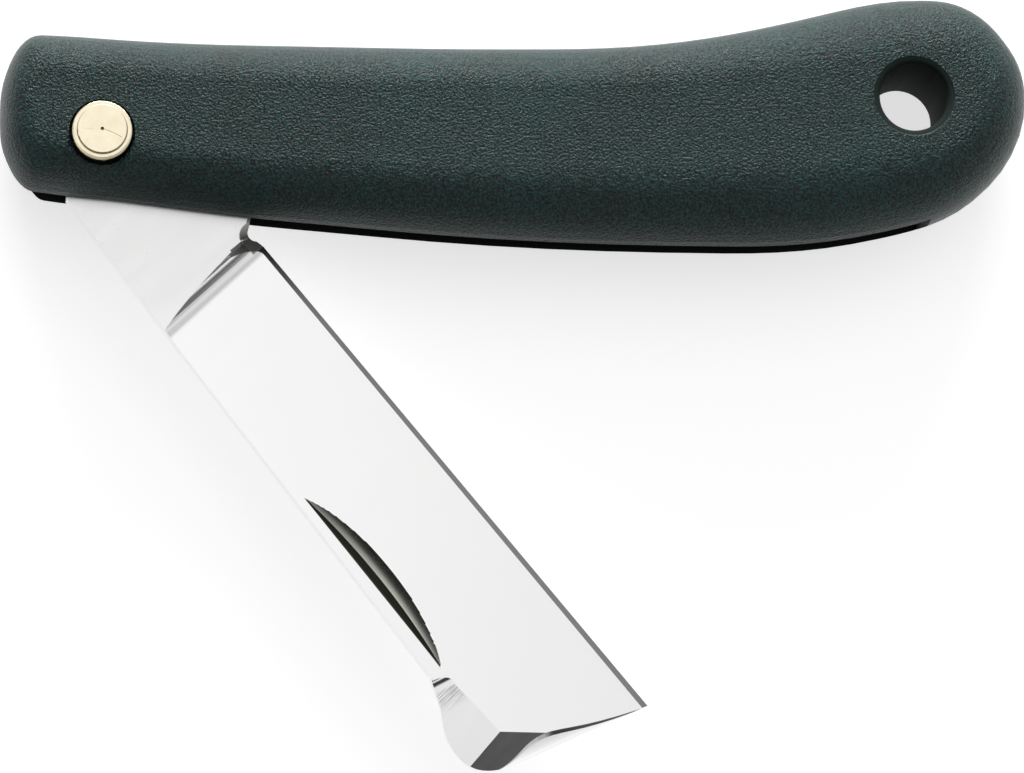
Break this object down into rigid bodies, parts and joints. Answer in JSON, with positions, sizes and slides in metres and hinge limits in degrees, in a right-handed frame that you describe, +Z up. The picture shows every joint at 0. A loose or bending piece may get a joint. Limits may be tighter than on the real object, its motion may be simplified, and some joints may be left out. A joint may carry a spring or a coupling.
{
  "type": "folding grafting knife",
  "caption": "Folding grafting knife with a moulded green handle, lanyard hole, brass pivot and a straight steel blade with nail nick and bark lifter.",
  "frame": {"origin": "on the pivot axis, level with the flat side that the knife lies on, which is also the flush face of the far pin head", "axes": "+X along the handle to its butt, +Y to the handle's closed back, +Z up through the handle's thickness"},
  "size_m": [0.1036, 0.0786, 0.0143],
  "materials": {
    "green_nylon": "fine moulded grain, low sheen",
    "blade_steel": "ground and polished",
    "spring_steel": "hardened, as blanked",
    "pin_brass": "turned",
    "collar_brass": "turned",
    "washer_bronze": "rolled sheet"
  },
  "bodies": {
    "handle": {"handle_body": "green_nylon", "back_spring": "spring_steel", "pivot_pin": "pin_brass", "near_collar": "collar_brass", "far_collar": "collar_brass", "near_washer": "washer_bronze", "far_washer": "washer_bronze"},
    "blade": {"blade": "blade_steel"}
  },
  "joints": [
    {"name": "blade_pivot", "type": "hinge", "parent": "handle", "child": "blade", "pos_m": [0, 0, 0.0065], "axis": [0, 0, 1], "range_deg": [-134, 43]}
  ]
}
